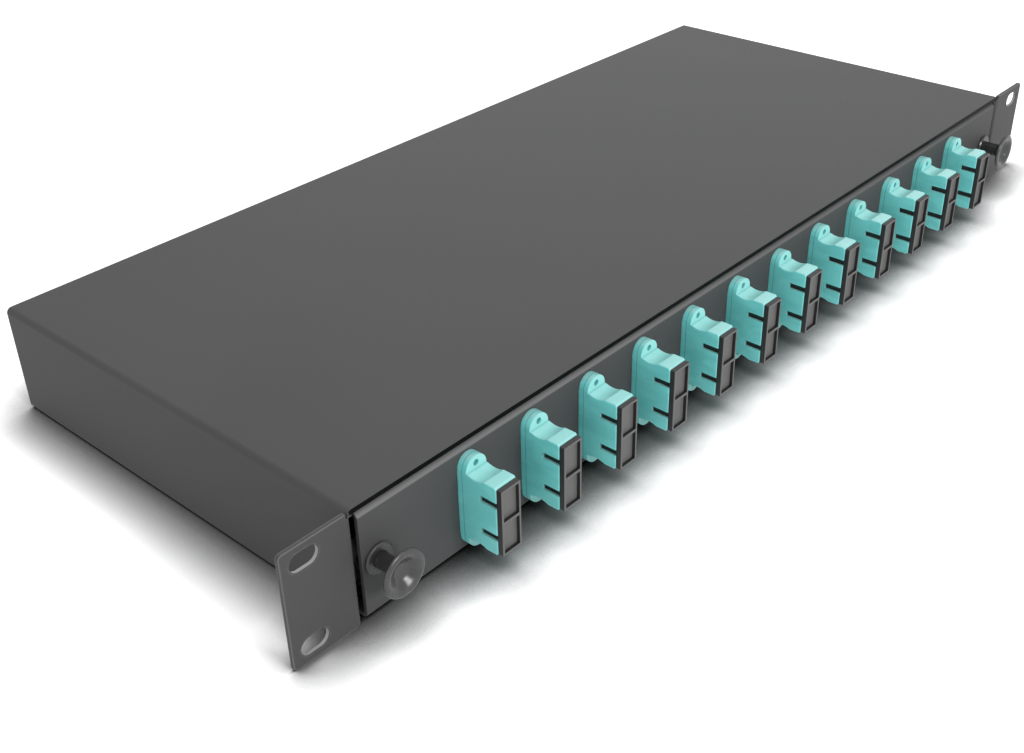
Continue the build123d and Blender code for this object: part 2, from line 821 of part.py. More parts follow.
with BuildPart() as latch_inserts:
    with GridLocations(coupler_pitch, 1, coupler_count, 1):
        add(port_inserts.part)
latch_inserts.part.label = "latch_inserts"
export_step(latch_inserts.part, "parts/latch_inserts.step")

# The splice cassette: a shallow moulded tray with rounded corners and notched entries
with BuildPart() as splice_cassette:
    with BuildSketch(Plane.XY.offset(tray_top_z)):
        with Locations((0, cassette_centre_y)):
            RectangleRounded(cassette_width, cassette_depth, cassette_corner)
    extrude(amount=cassette_height)
    with BuildSketch(Plane.XY.offset(tray_top_z + cassette_wall)):
        with Locations((0, cassette_centre_y)):
            RectangleRounded(
                cassette_width - 2 * cassette_wall,
                cassette_depth - 2 * cassette_wall,
                cassette_corner - cassette_wall,
            )
    extrude(amount=cassette_height, mode=Mode.SUBTRACT)
    # boss and hole for the stud
    with BuildSketch(Plane.XY.offset(tray_top_z)):
        with Locations((0, cassette_centre_y)):
            Circle(cassette_nut_radius)
    extrude(amount=cassette_height)
    with BuildSketch(Plane.XY.offset(tray_top_z)):
        with Locations((0, cassette_centre_y)):
            Circle(cassette_stud_radius + cassette_hole_clearance)
    extrude(amount=cassette_height, mode=Mode.SUBTRACT)
    # fibre entries through the rear and front walls
    with BuildSketch(Plane.XZ.offset(-cassette_centre_y)):
        with Locations((0, tray_top_z + cassette_wall)):
            with GridLocations(cassette_width - 2 * cassette_corner - cassette_notch, 1, 2, 1):
                Rectangle(cassette_notch, cassette_height, align=(Align.CENTER, Align.MIN))
    extrude(amount=cassette_depth, both=True, mode=Mode.SUBTRACT)
splice_cassette.part.label = "splice_cassette"
export_step(splice_cassette.part, "parts/splice_cassette.step")

# The lid of the cassette
with BuildPart() as cassette_lid:
    lid_z = tray_top_z + cassette_height
    with BuildSketch(Plane.XY.offset(lid_z)):
        with Locations((0, cassette_centre_y)):
            RectangleRounded(cassette_width, cassette_depth, cassette_corner)
            Circle(cassette_stud_radius + cassette_hole_clearance, mode=Mode.SUBTRACT)
    extrude(amount=lid_thickness)
    # locating rim that drops inside the wall
    with BuildSketch(Plane.XY.offset(lid_z)):
        with Locations((0, cassette_centre_y)):
            RectangleRounded(
                cassette_width - 2 * (cassette_wall + lid_play),
                cassette_depth - 2 * (cassette_wall + lid_play),
                cassette_corner - cassette_wall - lid_play,
            )
            RectangleRounded(
                cassette_width - 4 * cassette_wall - 2 * lid_play,
                cassette_depth - 4 * cassette_wall - 2 * lid_play,
                cassette_corner - 2 * cassette_wall - lid_play,
                mode=Mode.SUBTRACT,
            )
    extrude(amount=-lid_thickness)
cassette_lid.part.label = "cassette_lid"
export_step(cassette_lid.part, "parts/cassette_lid.step")

# Knurled nut that holds the lid down
with BuildPart() as cassette_nut:
    with BuildSketch(Plane.XY.offset(tray_top_z + cassette_height + lid_thickness)):
        with Locations((0, cassette_centre_y)):
            Circle(cassette_nut_radius)
            with PolarLocations(cassette_nut_radius, knurl_count):
                Circle(knurl_radius, mode=Mode.SUBTRACT)
            Circle(cassette_stud_radius + thread_play, mode=Mode.SUBTRACT)
    extrude(amount=cassette_nut_height)
cassette_nut.part.label = "cassette_nut"
export_step(cassette_nut.part, "parts/cassette_nut.step")

# Slotted combs that hold the splice protectors
with BuildPart() as splice_combs:
    comb_z = tray_top_z + cassette_wall
    comb_pitch = comb_depth / comb_slots
    for side in (-1, 1):
        with BuildSketch(Plane.XY.offset(comb_z)):
            with Locations((side * comb_offset, cassette_centre_y)):
                Rectangle(comb_width, comb_depth)
        extrude(amount=comb_height)
        with BuildSketch(Plane.XY.offset(comb_z + comb_base)):
            with Locations((side * comb_offset, cassette_centre_y)):
                with GridLocations(1, comb_pitch, 1, comb_slots):
                    Rectangle(comb_width, comb_slot)
        extrude(amount=comb_height, mode=Mode.SUBTRACT)
splice_combs.part.label = "splice_combs"
export_step(splice_combs.part, "parts/splice_combs.step")

# Clips on the tray floor that hold the fibre slack, open at the top
with BuildPart() as fibre_guides:
    for clip_y in (guide_front_y, guide_rear_y):
        for side in (-1, 1):
            with BuildSketch(Plane.XZ.offset(-clip_y)):
                with Locations((side * guide_x, tray_top_z)):
                    Rectangle(guide_width, guide_height, align=(Align.CENTER, Align.MIN))
            extrude(amount=guide_depth / 2, both=True)
    fillet(fibre_guides.edges().filter_by(Axis.Y).group_by(Axis.Z)[-1], radius=guide_corner)
    for clip_y in (guide_front_y, guide_rear_y):
        for side in (-1, 1):
            with BuildSketch(Plane.XZ.offset(-clip_y)):
                with Locations((side * guide_x, tray_top_z + guide_wall)):
                    RectangleRounded(
                        guide_width - 2 * guide_wall,
                        guide_height - 2 * guide_wall,
                        guide_corner - guide_wall,
                        align=(Align.CENTER, Align.MIN),
                    )
                with Locations((side * guide_x, tray_top_z + guide_height)):
                    Rectangle(guide_mouth, 4 * guide_wall)
            extrude(amount=guide_depth / 2, both=True, mode=Mode.SUBTRACT)
fibre_guides.part.label = "fibre_guides"
export_step(fibre_guides.part, "parts/fibre_guides.step")

# Cable glands in the outer rear entries
for side, hand in ((-1, "left"), (1, "right")):
    gland_plane = Plane(origin=(side * gland_x, 0, entry_z))
    gland_axis = Axis((side * gland_x, 0, entry_z), (0, 1, 0))
    neck_y = rear_y + gland_flange
    mouth_y = neck_y + gland_neck

    with BuildPart() as gland_body:
        with BuildSketch(Plane.XZ.offset(-rear_y)):
            with Locations((side * gland_x, entry_z)):
                RegularPolygon(gland_flats / 2, 6, major_radius=False)
        extrude(amount=-gland_flange)
        with BuildSketch(Plane.XZ.offset(-rear_y)):
            with Locations((side * gland_x, entry_z)):
                Circle(entry_radius)
        extrude(amount=sheet + gland_thread_inside)
        with BuildSketch(Plane.XZ.offset(-neck_y)):
            with Locations((side * gland_x, entry_z)):
                Circle(gland_neck_radius)
        extrude(amount=-gland_neck)
        with BuildSketch(Plane.XZ.offset(-mouth_y)):
            with Locations((side * gland_x, entry_z)):
                Circle(gland_bore)
        extrude(amount=body_depth, mode=Mode.SUBTRACT)
        with BuildSketch(Plane.XZ.offset(-mouth_y)):
            with Locations((side * gland_x, entry_z)):
                Circle(gland_mouth_radius)
        extrude(amount=gland_mouth, mode=Mode.SUBTRACT)
    gland_body.part.label = f"gland_body_{hand}"
    export_step(gland_body.part, f"parts/gland_body_{hand}.step")

    with BuildPart() as gland_seal:
        with BuildSketch(Plane.XZ.offset(-(mouth_y - gland_mouth))):
            with Locations((side * gland_x, entry_z)):
                Circle(gland_mouth_radius - thread_play)
                Circle(seal_bore, mode=Mode.SUBTRACT)
        extrude(amount=-(gland_mouth + seal_stand_out))
    gland_seal.part.label = f"gland_seal_{hand}"
    export_step(gland_seal.part, f"parts/gland_seal_{hand}.step")

    with BuildPart() as gland_cap:
        cap_y = neck_y + cap_nut_gap
        cap_end_y = cap_y + cap_nut_length
        cap_inner = gland_neck_radius + thread_play
        with BuildSketch(gland_plane):
            with BuildLine():
                Polyline(
                    (0, cap_end_y),
                    (0, cap_y),
                    (cap_inner + cap_nut_wall, cap_y),
                    (cap_inner + cap_nut_wall, cap_y + cap_nut_hex),
                )
                RadiusArc(
                    (cap_inner + cap_nut_wall, cap_y + cap_nut_hex),
                    (cap_nut_hole + cap_nut_wall, cap_end_y),
                    cap_inner,
                )
                Line((cap_nut_hole + cap_nut_wall, cap_end_y), (0, cap_end_y))
            make_face()
        revolve(axis=gland_axis)
        with BuildSketch(Plane.XZ.offset(-cap_y)):
            with Locations((side * gland_x, entry_z)):
                RegularPolygon(cap_nut_flats / 2, 6, major_radius=False)
        extrude(amount=-cap_nut_hex)
        with BuildSketch(Plane.XZ.offset(-cap_y)):
            with Locations((side * gland_x, entry_z)):
                Circle(cap_inner)
        extrude(amount=-(mouth_y + seal_stand_out + thread_play - cap_y), mode=Mode.SUBTRACT)
        with BuildSketch(Plane.XZ.offset(-cap_y)):
            with Locations((side * gland_x, entry_z)):
                Circle(cap_nut_hole)
        extrude(amount=-cap_nut_length, mode=Mode.SUBTRACT)
    gland_cap.part.label = f"gland_cap_{hand}"
    export_step(gland_cap.part, f"parts/gland_cap_{hand}.step")

    with BuildPart() as gland_locknut:
        with BuildSketch(Plane.XZ.offset(-(rear_y - sheet))):
            with Locations((side * gland_x, entry_z)):
                RegularPolygon(gland_flats / 2, 6, major_radius=False)
                Circle(entry_radius + thread_play, mode=Mode.SUBTRACT)
        extrude(amount=locknut_height)
    gland_locknut.part.label = f"gland_locknut_{hand}"
    export_step(gland_locknut.part, f"parts/gland_locknut_{hand}.step")

# Snap-in plugs in the inner rear entries
with BuildPart() as blanking_plugs:
    for side in (-1, 1):
        with BuildSketch(Plane(origin=(side * plug_x, 0, entry_z))):
            with BuildLine():
                Polyline(
                    (0, rear_y + plug_head),
                    (plug_head_radius - plug_edge, rear_y + plug_head),
                    (plug_head_radius, rear_y + plug_head - plug_edge),
                    (plug_head_radius, rear_y),
                    (entry_radius, rear_y),
                    (entry_radius, rear_y - sheet - thread_play),
                    (entry_radius + plug_barb, rear_y - sheet - thread_play),
                    (entry_radius - plug_barb, rear_y - plug_barrel_length),
                    (entry_radius - plug_wall, rear_y - plug_barrel_length),
                    (entry_radius - plug_wall, rear_y),
                    (0, rear_y),
                    close=True,
                )
            make_face()
        revolve(axis=Axis((side * plug_x, 0, entry_z), (0, 1, 0)))
blanking_plugs.part.label = "blanking_plugs"
export_step(blanking_plugs.part, "parts/blanking_plugs.step")
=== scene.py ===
import json
import bmesh
import bpy
import numpy as np
from mathutils import Matrix, Vector


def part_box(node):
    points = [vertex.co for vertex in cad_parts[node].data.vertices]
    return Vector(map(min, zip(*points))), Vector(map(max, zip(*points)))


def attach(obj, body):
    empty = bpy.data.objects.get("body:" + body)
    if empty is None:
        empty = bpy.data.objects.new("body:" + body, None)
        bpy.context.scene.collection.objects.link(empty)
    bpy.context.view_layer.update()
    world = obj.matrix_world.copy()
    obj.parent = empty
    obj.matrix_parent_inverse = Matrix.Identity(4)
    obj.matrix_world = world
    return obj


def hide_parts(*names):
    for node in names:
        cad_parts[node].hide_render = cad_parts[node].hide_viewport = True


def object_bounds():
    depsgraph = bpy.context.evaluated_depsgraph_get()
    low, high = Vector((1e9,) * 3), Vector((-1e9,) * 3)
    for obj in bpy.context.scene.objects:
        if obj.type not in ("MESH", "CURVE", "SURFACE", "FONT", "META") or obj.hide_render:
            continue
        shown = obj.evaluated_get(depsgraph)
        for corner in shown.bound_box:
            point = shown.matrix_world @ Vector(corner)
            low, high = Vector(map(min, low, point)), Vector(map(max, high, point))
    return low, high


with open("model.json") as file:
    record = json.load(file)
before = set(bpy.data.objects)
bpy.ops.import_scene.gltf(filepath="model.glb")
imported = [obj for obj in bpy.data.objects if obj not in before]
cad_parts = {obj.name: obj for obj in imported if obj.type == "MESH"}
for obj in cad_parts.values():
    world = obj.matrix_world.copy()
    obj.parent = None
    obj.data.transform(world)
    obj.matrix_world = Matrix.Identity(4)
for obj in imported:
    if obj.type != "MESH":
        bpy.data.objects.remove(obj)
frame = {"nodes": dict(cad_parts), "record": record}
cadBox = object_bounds()
nodes = frame["nodes"]
scene = bpy.context.scene
scene.view_settings.view_transform = "Standard"
mm = 0.001
print("frame loaded:", len(nodes), "nodes")


# the camera stands to the left of the panel and above it
camera = {
    "azimuth": 47.29,       # degrees to the left of straight on
    "elevation": 32.35,     # degrees above the level
    "roll": -1.59,
    "place": (-0.4014, -0.2394, 0.2558),
    "focalPixels": 1307.0,  # focal length in pixels of an image this wide
    "imageWidth": 1024,
    "sensor": 36.0,         # millimetres
    "clip": (0.01, 50),
}


def makeCamera(v):
    # right, up and forward are worked out from the two angles, then turned by the roll about forward
    a, e, r = np.radians([v["azimuth"], v["elevation"], v["roll"]])
    forward = Vector((np.sin(a) * np.cos(e), np.cos(a) * np.cos(e), -np.sin(e)))
    level = Vector((np.cos(a), -np.sin(a), 0))
    upright = level.cross(forward)
    right = level * np.cos(r) + upright * np.sin(r)
    up = upright * np.cos(r) - level * np.sin(r)
    made = bpy.data.objects.new("camera", bpy.data.cameras.new("camera"))
    made.data.sensor_width = v["sensor"]
    made.data.lens = v["focalPixels"] * v["sensor"] / v["imageWidth"]
    made.data.clip_start, made.data.clip_end = v["clip"]
    turned = Matrix((right, up, -forward)).transposed().to_4x4()
    made.matrix_world = Matrix.Translation(v["place"]) @ turned
    scene.collection.objects.link(made)
    scene.camera = made


makeCamera(camera)
print("camera placed")


class Wire:  # a node's output with arithmetic, so that shader maths reads as expressions
    def __init__(self, sheet, socket):
        self.sheet, self.socket = sheet, socket

    def __add__(self, other):
        return self.sheet.maths("ADD", self, other)

    def __radd__(self, other):
        return self.sheet.maths("ADD", other, self)

    def __sub__(self, other):
        return self.sheet.maths("SUBTRACT", self, other)

    def __rsub__(self, other):
        return self.sheet.maths("SUBTRACT", other, self)

    def __mul__(self, other):
        return self.sheet.maths("MULTIPLY", self, other)

    def __rmul__(self, other):
        return self.sheet.maths("MULTIPLY", other, self)

    def __pow__(self, other):
        return self.sheet.maths("POWER", self, other)

    def __abs__(self):
        return self.sheet.maths("ABSOLUTE", self)


class Finish:  # the nodes of one material, or of the world
    def __init__(self, name, block=None):
        self.block = block or bpy.data.materials.new(name)
        self.block.use_nodes = True
        self.tree = self.block.node_tree
        self.tree.nodes.clear()
        if block is None:
            self.shader = self.node("BsdfPrincipled")
            self.node("OutputMaterial", inputs={"Surface": self.shader})
            self.place = self.node("TexCoord", out="Object")

    def node(self, kind, settings=None, inputs=None, out=0):
        made = self.tree.nodes.new("ShaderNode" + kind)
        for key, value in (settings or {}).items():
            setattr(made, key, value)
        for key, value in (inputs or {}).items():
            self.feed(made.inputs[key], value)
        return Wire(self, made.outputs[out]) if made.outputs else None

    def feed(self, socket, value):
        if isinstance(value, Wire):
            self.tree.links.new(value.socket, socket)
        else:
            socket.default_value = value

    def set(self, **inputs):
        for key, value in inputs.items():
            self.feed(self.shader.socket.node.inputs[key.replace("_", " ")], value)

    def maths(self, operation, *values):
        return self.node("Math", {"operation": operation}, dict(enumerate(values)))

    def axis(self, letter, of=None):
        return self.node("SeparateXYZ", inputs={0: of or self.place}, out=letter)

    def facing(self, letter):
        # how far the surface looks along an axis
        return self.axis(letter, self.node("TexCoord", out="Normal"))

    def noise(self, size, detail=2.0, stretch=(1, 1, 1), distortion=0.0):
        # size is the width of one blotch in metres, and stretch draws it out along an axis
        scale = [1 / size / s for s in stretch]
        grown = self.node("Mapping", inputs={"Vector": self.place, "Scale": scale})
        shape = {"Vector": grown, "Scale": 1.0, "Detail": detail, "Distortion": distortion}
        return self.node("TexNoise", inputs=shape)

    def step(self, value, low, high):
        # 0 below low and 1 above high, with a smooth rise between them
        limits = {"Value": value, "From Min": low, "From Max": high}
        return self.node("MapRange", {"interpolation_type": "SMOOTHSTEP"}, limits)

    def colours(self, mask, first, second):
        # the first colour where the mask is 0, the second where it is 1
        first, second = (c if isinstance(c, Wire) else (*c, 1) for c in (first, second))
        return self.node("Mix", {"data_type": "RGBA"}, {0: mask, 6: first, 7: second}, 2)

    def edges(self, width, low, high):
        # an edge is near where the normal that is rounded over that width leaves the true one: their dot
        # product is 1 on a flat face, and the mask is full at low and gone at high
        rounded = self.node("Bevel", {"samples": 6}, {"Radius": width})
        normals = {0: rounded, 1: self.node("NewGeometry", out="True Normal")}
        likeness = self.node("VectorMath", {"operation": "DOT_PRODUCT"}, normals, "Value")
        return 1 - self.step(likeness, low, high)

    def relief(self, height, depth, strength=1.0, rounding=None):
        # a bump of that depth, over edges that are rounded by that radius
        inputs = {"Height": height, "Distance": depth, "Strength": strength}
        if rounding:
            inputs["Normal"] = self.node("Bevel", {"samples": 4}, {"Radius": rounding})
        return self.node("Bump", inputs=inputs)


powder = {
    "colour": (0.044, 0.044, 0.045),
    "pale": (0.050, 0.050, 0.051),
    "rough": 0.60,
    "sheen": 0.32,      # a powder coat mirrors less than smooth paint
    "cloud": 70 * mm,
    "peel": 1.6 * mm,   # one ripple of the sprayed skin
    "grain": 0.35 * mm,
    "depth": 0.05 * mm,
    "rounding": 0.4 * mm,
    "edge": (0.075, 0.075, 0.076),  # painted highlight: the edges are painted paler, as rounded edges catch the light
    "edgeWidth": 0.7 * mm,
    "edgeLimits": (0.75, 0.97),
}


def powderCoat(name, v):
    # a cloudy dark grey with a fine grain over a faint orange peel, and a painted highlight along its
    # edges
    made = Finish(name)
    cloud, peel, grain = made.noise(v["cloud"], 3), made.noise(v["peel"]), made.noise(v["grain"])
    colour = made.colours(made.step(cloud * 0.7 + grain * 0.3, 0.38, 0.62), v["colour"], v["pale"])
    # painted highlight: paler where the rounded normal leaves the true one, along every edge
    edges = made.edges(v["edgeWidth"], *v["edgeLimits"])
    colour = made.colours(edges * (0.6 + cloud * 0.4), colour, v["edge"])
    made.set(Base_Color=colour, Roughness=v["rough"] + (grain - 0.5) * 0.25 + (cloud - 0.5) * 0.1)
    made.set(Specular_IOR_Level=v["sheen"])
    made.set(Normal=made.relief(peel * 0.6 + grain * 0.4, v["depth"], 0.6, v["rounding"]))
    return made, colour


rackSlot = {
    "x": 232.55 * mm,      # to the middle of each slot, on either side of the panel's middle
    "z": 15.875 * mm,
    "radius": 3.4 * mm,
    "straight": 2.1 * mm,  # half the straight stretch of the slot
    "band": 0.7 * mm,      # width of the rubbed band
    "patch": 1.2 * mm,     # size of the patches that it is broken into
    "patchLimits": (0.45, 0.62),
    "rubbed": (0.12, 0.12, 0.12),
    "wallTone": (0.30, 0.30, 0.30),  # paler on the cut walls of the slots
    "rim": 0.18 * mm,      # radius of the paint bead
    "rimOut": 0.4,         # how many of its radii its middle stands off the edge
    "steps": 48,
    "beadSteps": 8,
}
housing = {
    # painted highlight along the ears' edges
    "earHighlight": (0.15, 0.15, 0.15),
    "earFrom": 216 * mm,   # the ears lie further out than this
    "earEdgeWidth": 1.0 * mm,
    "earEdgeLimits": (0.8, 0.98),
    "cutEdgeShade": (0.004, 0.004, 0.004),  # painted shade: the roof's cut front edge is painted as black and dull as the shaded gap below it
    "cutEnd": 214.9 * mm,
    "sheet": 1.5 * mm,
    "fade": 0.1 * mm,      # the finishes' borders blur over about this width
}


def housingCoat(name, v, slot, body):
    # the same coat, with a painted highlight along the ears' edges and painted shade on the roof's cut
    # front edge
    made, colour = powderCoat(name, v)
    low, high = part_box("outer_shell")
    fade = body["fade"]
    side = abs(made.axis("X"))
    # painted highlight along the edges of the ears
    outside = made.step(side, body["earFrom"], body["earFrom"] + mm)
    earHighlights = outside * made.edges(body["earEdgeWidth"], *body["earEdgeLimits"])
    colour = made.colours(earHighlights, colour, body["earHighlight"])

    # painted shade on the roof's cut front edge, over the shaded gap above the drawer
    roofFrom = high.z - body["sheet"]
    frontmost = 1 - made.step(made.axis("Y"), low.y + 2 * fade, low.y + 3 * fade)
    upmost = made.step(made.axis("Z"), roofFrom - 2 * fade, roofFrom - fade)
    between = 1 - made.step(side, body["cutEnd"] - 2 * fade, body["cutEnd"])
    cut = frontmost * upmost * between
    colour = made.colours(cut, colour, body["cutEdgeShade"])

    # rubbed pale in patches round the four rack slots, where the screws' washers sit, and paler on the
    # slots' walls: the distance to a slot is that to its middle line, less half its width
    along = made.maths("MAXIMUM", abs(side - slot["x"]) - slot["straight"], 0.0)
    across = abs(made.axis("Z")) - slot["z"]
    away = (along ** 2 + across * across) ** 0.5 - slot["radius"]
    patches = made.step(made.noise(slot["patch"], 3), *slot["patchLimits"])
    rubbed = (1 - made.step(away, 0.0, slot["band"])) * patches
    colour = made.colours(rubbed, colour, slot["rubbed"])
    # the slots' cut walls are painted paler
    flat = made.step(abs(made.facing("Y")), 0.2, 0.6)
    wall = (1 - flat) * (1 - made.step(away, fade, 3 * fade))
    colour = made.colours(wall, colour, slot["wallTone"])
    made.set(Base_Color=colour, Metallic=cut)  # the painted shade is metallic black, so it mirrors nothing
    return made


drawerBend = {
    "radius": 2.2 * mm,
    "limits": (0.84, 0.68),       # the painted highlight starts and is full this many radii short of a sharp corner
    "bendHighlight": (0.13, 0.13, 0.13),   # painted highlight on the bend, as it catches the light from above
    "least": 0.35,                # how much of that is left at the right end
}


def drawerCoat(name, v, bend):
    # the same coat, with a painted highlight along the bend at the top of the drawer front, fainter to the
    # right: Z less Y is greatest halfway round the bend
    made, colour = powderCoat(name, v)
    low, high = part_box("drawer_front")
    corner = high.z - low.y
    reach = made.axis("Z") - made.axis("Y")
    # painted highlight halfway round the top bend
    bendHighlight = made.step(reach, *(corner - short * bend["radius"] for short in bend["limits"]))
    fade = made.step(made.axis("X"), low.x, high.x) * (bend["least"] - 1) + 1
    made.set(Base_Color=made.colours(bendHighlight * fade, colour, bend["bendHighlight"]))
    return made


zinc = {
    "colour": (0.60, 0.61, 0.62),
    "dull": (0.42, 0.43, 0.45),
    "rough": 0.34,
    "streak": 0.2 * mm,
    "cloud": 12 * mm,
    "depth": 0.02 * mm,
    "rounding": 0.2 * mm,
}


def zincPlate(name, v):
    # fine rolling streaks along Y under a cloudy bright plating
    made = Finish(name)
    streak, cloud = made.noise(v["streak"], 2, (1, 60, 1)), made.noise(v["cloud"], 3)
    made.set(Metallic=1.0, Roughness=v["rough"] + (streak - 0.5) * 0.3 + (cloud - 0.5) * 0.15)
    made.set(Base_Color=made.colours(made.step((streak + cloud) * 0.5, 0.4, 0.6), v["dull"], v["colour"]))
    made.set(Normal=made.relief(streak, v["depth"], 0.5, v["rounding"]))
    return made


aqua = {
    "colour": (0.165, 0.620, 0.610),
    "flow": (0.200, 0.700, 0.685),
    "pale": (0.265, 0.610, 0.590),  # painted highlight: the top and the flange's face are painted paler than the sides
    "seam": (0.060, 0.330, 0.320),
    "rough": 0.32,
    "flowSize": 6 * mm,
    "fine": 0.3 * mm,
    "weldY": -3.4 * mm,    # the middle of the flange
    "weld": 0.12 * mm,     # half the width of the weld line
    "depth": 0.06 * mm,
    "rounding": 0.25 * mm,
}


def couplerPlastic(name, v):
    # faint flow marks, a thin weld line round the middle of the flange where the two halves meet, and a
    # painted highlight
    made = Finish(name)
    flow, fine = made.noise(v["flowSize"], 3, (1, 3, 1), 0.6), made.noise(v["fine"])
    weld = 1 - made.step(abs(made.axis("Y") - v["weldY"]), v["weld"] * 0.5, v["weld"] * 1.5)
    # painted highlight: faces that look along Y or Z get the paler colour
    sideways = made.step(abs(made.facing("X")), 0.4, 0.9)
    moulded = made.colours(made.step(flow, 0.38, 0.62), v["colour"], v["flow"])
    moulded = made.colours(sideways, v["pale"], moulded)
    made.set(Base_Color=made.colours(weld, moulded, v["seam"]))
    made.set(Roughness=v["rough"] + (flow - 0.5) * 0.12 + (fine - 0.5) * 0.08)
    made.set(Normal=made.relief(fine * 0.3 - weld, v["depth"], 0.5, v["rounding"]))
    return made


capRubber = {
    "face": (0.095, 0.093, 0.092),   # painted light: faces towards the front are painted lighter and the sides dark, as lit and shaded
    "side": (0.012, 0.013, 0.014),
    "rough": 0.55,
    "texture": 0.25 * mm,
    "cloud": 4 * mm,
    "depth": 0.05 * mm,
    "rounding": 0.2 * mm,
}


def dustCapRubber(name, v):
    # a fine texture all over, with painted light and shade: faces towards the front are painted lighter
    # and the sides darker, told apart by how far a face looks along -Y
    made = Finish(name)
    texture, cloud = made.noise(v["texture"], 3), made.noise(v["cloud"], 2)
    # painted light and shade by the way a face looks
    forwards = made.step(made.facing("Y") * -1, 0.6, 0.95)
    made.set(Base_Color=made.colours(forwards * (0.85 + cloud * 0.3), v["side"], v["face"]))
    made.set(Roughness=v["rough"] + (texture - 0.5) * 0.3)
    made.set(Normal=made.relief(texture, v["depth"], 0.6, v["rounding"]))
    return made


mouldRounding = 0.2 * mm
mouldings = {
    # colour, paler colour, roughness, width of the texture and of the clouds, depth of the texture
    "black_nylon": ((0.022, 0.022, 0.023), (0.036, 0.036, 0.037), 0.5, 0.4 * mm, 5 * mm, 0.06 * mm),
    "plunger_plastic": ((0.034, 0.034, 0.035), (0.042, 0.042, 0.043), 0.25, 2.5 * mm, 6 * mm, 0.01 * mm),
    "seal_rubber": ((0.018, 0.018, 0.018), (0.032, 0.032, 0.031), 0.72, 0.3 * mm, 3 * mm, 0.05 * mm),
    "white_ceramic": ((0.76, 0.76, 0.73), (0.84, 0.84, 0.82), 0.18, 0.2 * mm, 2 * mm, 0.005 * mm),
    "insert_plastic": ((0.60, 0.62, 0.60), (0.70, 0.72, 0.70), 0.42, 0.3 * mm, 3 * mm, 0.02 * mm),
    "cassette_plastic": ((0.50, 0.51, 0.50), (0.58, 0.59, 0.58), 0.46, 0.5 * mm, 18 * mm, 0.04 * mm),
    "comb_foam": ((0.020, 0.020, 0.021), (0.050, 0.050, 0.052), 0.9, 0.5 * mm, 2 * mm, 0.15 * mm),
}


def moulding(name, v):
    # a cloudy plastic, rubber or ceramic whose texture roughens and dimples it
    made = Finish(name)
    colour, pale, rough, fine, wide, depth = v
    texture, cloud = made.noise(fine, 3), made.noise(wide, 3)
    made.set(Base_Color=made.colours(made.step(texture * 0.4 + cloud * 0.6, 0.4, 0.6), colour, pale))
    made.set(Roughness=rough + (texture - 0.5) * 0.2 + (cloud - 0.5) * 0.1)
    made.set(Normal=made.relief(texture, depth, 0.6, mouldRounding))
    return made


lid = {"colour": (0.70, 0.74, 0.76), "rough": 0.10, "clear": 0.8, "ior": 1.49, "haze": 25 * mm}


def smokyLid(name, v):
    # clear sheet with a faint haze that comes and goes
    made = Finish(name)
    haze = made.noise(v["haze"], 3)
    made.set(Base_Color=v["colour"] + (1,), Transmission_Weight=v["clear"], IOR=v["ior"])
    made.set(Roughness=v["rough"] + haze * 0.15)
    return made


brass = {
    "colour": (0.62, 0.43, 0.15),
    "dark": (0.42, 0.27, 0.09),
    "rough": 0.28,
    "ring": 0.15 * mm,
    "tarnish": 2 * mm,
    "depth": 0.02 * mm,
    "rounding": 0.15 * mm,
}


def turnedBrass(name, v):
    # tool marks in fine level rings, tarnished in patches
    made = Finish(name)
    rings, tarnish = made.noise(v["ring"], 2, (60, 60, 1)), made.noise(v["tarnish"], 3)
    made.set(Metallic=1.0, Base_Color=made.colours(made.step(tarnish, 0.4, 0.65), v["colour"], v["dark"]))
    made.set(Roughness=v["rough"] + (rings - 0.5) * 0.3)
    made.set(Normal=made.relief(rings, v["depth"], 0.5, v["rounding"]))
    return made


finishes = {
    "powder_coat": powderCoat("powderCoat", powder)[0],
    "zinc_steel": zincPlate("zincPlate", zinc),
    "aqua_plastic": couplerPlastic("couplerPlastic", aqua),
    "cap_rubber": dustCapRubber("dustCapRubber", capRubber),
    "lid_plastic": smokyLid("smokyLid", lid),
    "nut_brass": turnedBrass("turnedBrass", brass),
    **{slot: moulding(slot, values) for slot, values in mouldings.items()},
}
ownFinishes = {
    "outer_shell": housingCoat("housingCoat", powder, rackSlot, housing),
    "drawer_front": drawerCoat("drawerCoat", powder, drawerBend),
}
for part in frame["record"]["subparts"]:
    finish = ownFinishes.get(part["node"], finishes[part["material_slot"]])
    for holder in nodes[part["node"]].material_slots:
        holder.material = finish.block
print("finishes laid on:", len(finishes) + len(ownFinishes))


def surface(name, grid, slot, body, loop=False, poles=()):
    # neighbouring points of the grid are joined by faces; its columns always close into a ring,
    # its rows close too if loop is set, and a pole is a point that closes the first or last row with a fan
    rows, columns = grid.shape[:2]
    index = np.arange(rows * columns).reshape(rows, columns)
    if loop:
        index = np.vstack([index, index[:1]])
    a, b = index[:-1], index[1:]
    faces = np.stack([a, np.roll(a, -1, 1), np.roll(b, -1, 1), b], -1).reshape(-1, 4).tolist()
    points = grid.reshape(-1, 3)
    for row, pole in zip((index[0], index[-1][::-1]), poles):
        faces += np.stack([np.roll(row, -1), row, np.full(columns, len(points))], -1).tolist()
        points = np.vstack([points, pole])
    mesh = bpy.data.meshes.new(name)
    mesh.from_pydata(points.tolist(), [], faces)
    shell = bmesh.new()
    shell.from_mesh(mesh)
    bmesh.ops.recalc_face_normals(shell, faces=shell.faces)
    shell.to_mesh(mesh)
    shell.free()
    mesh.shade_smooth()
    mesh.materials.append(finishes[slot].block)
    made = bpy.data.objects.new(name, mesh)
    scene.collection.objects.link(made)
    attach(made, body)
    return made


